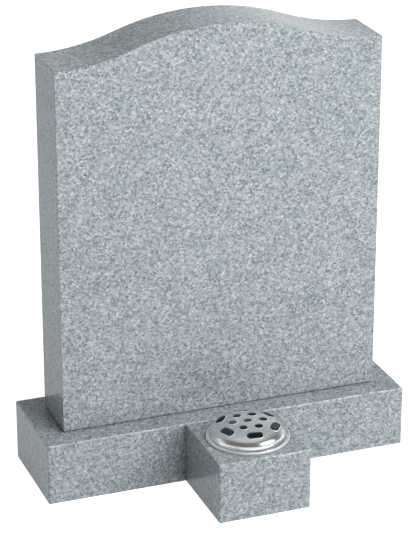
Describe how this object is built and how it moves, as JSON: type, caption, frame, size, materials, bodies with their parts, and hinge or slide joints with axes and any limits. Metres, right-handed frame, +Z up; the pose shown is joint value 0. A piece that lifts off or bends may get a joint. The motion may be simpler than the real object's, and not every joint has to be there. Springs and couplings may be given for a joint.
{
  "type": "ogee headstone",
  "caption": "Ogee-topped granite headstone on a rectangular plinth, with a square vase block holding a lidded metal flower container.",
  "frame": {"origin": "centre of the plinth's underside, on the ground", "axes": "+Z up, +X to the right as seen from the front, the front and the vase block face -Y"},
  "size_m": [0.6096, 0.3305, 0.7429],
  "materials": {
    "granite": "polished speckled light-grey granite",
    "container_metal": "spun, satin inside, polished rim",
    "lid_metal": "polished"
  },
  "bodies": {
    "root": {"headstone": "granite", "base": "granite", "vase_block": "granite", "flower_container": "container_metal", "container_lid": "lid_metal"}
  },
  "joints": []
}
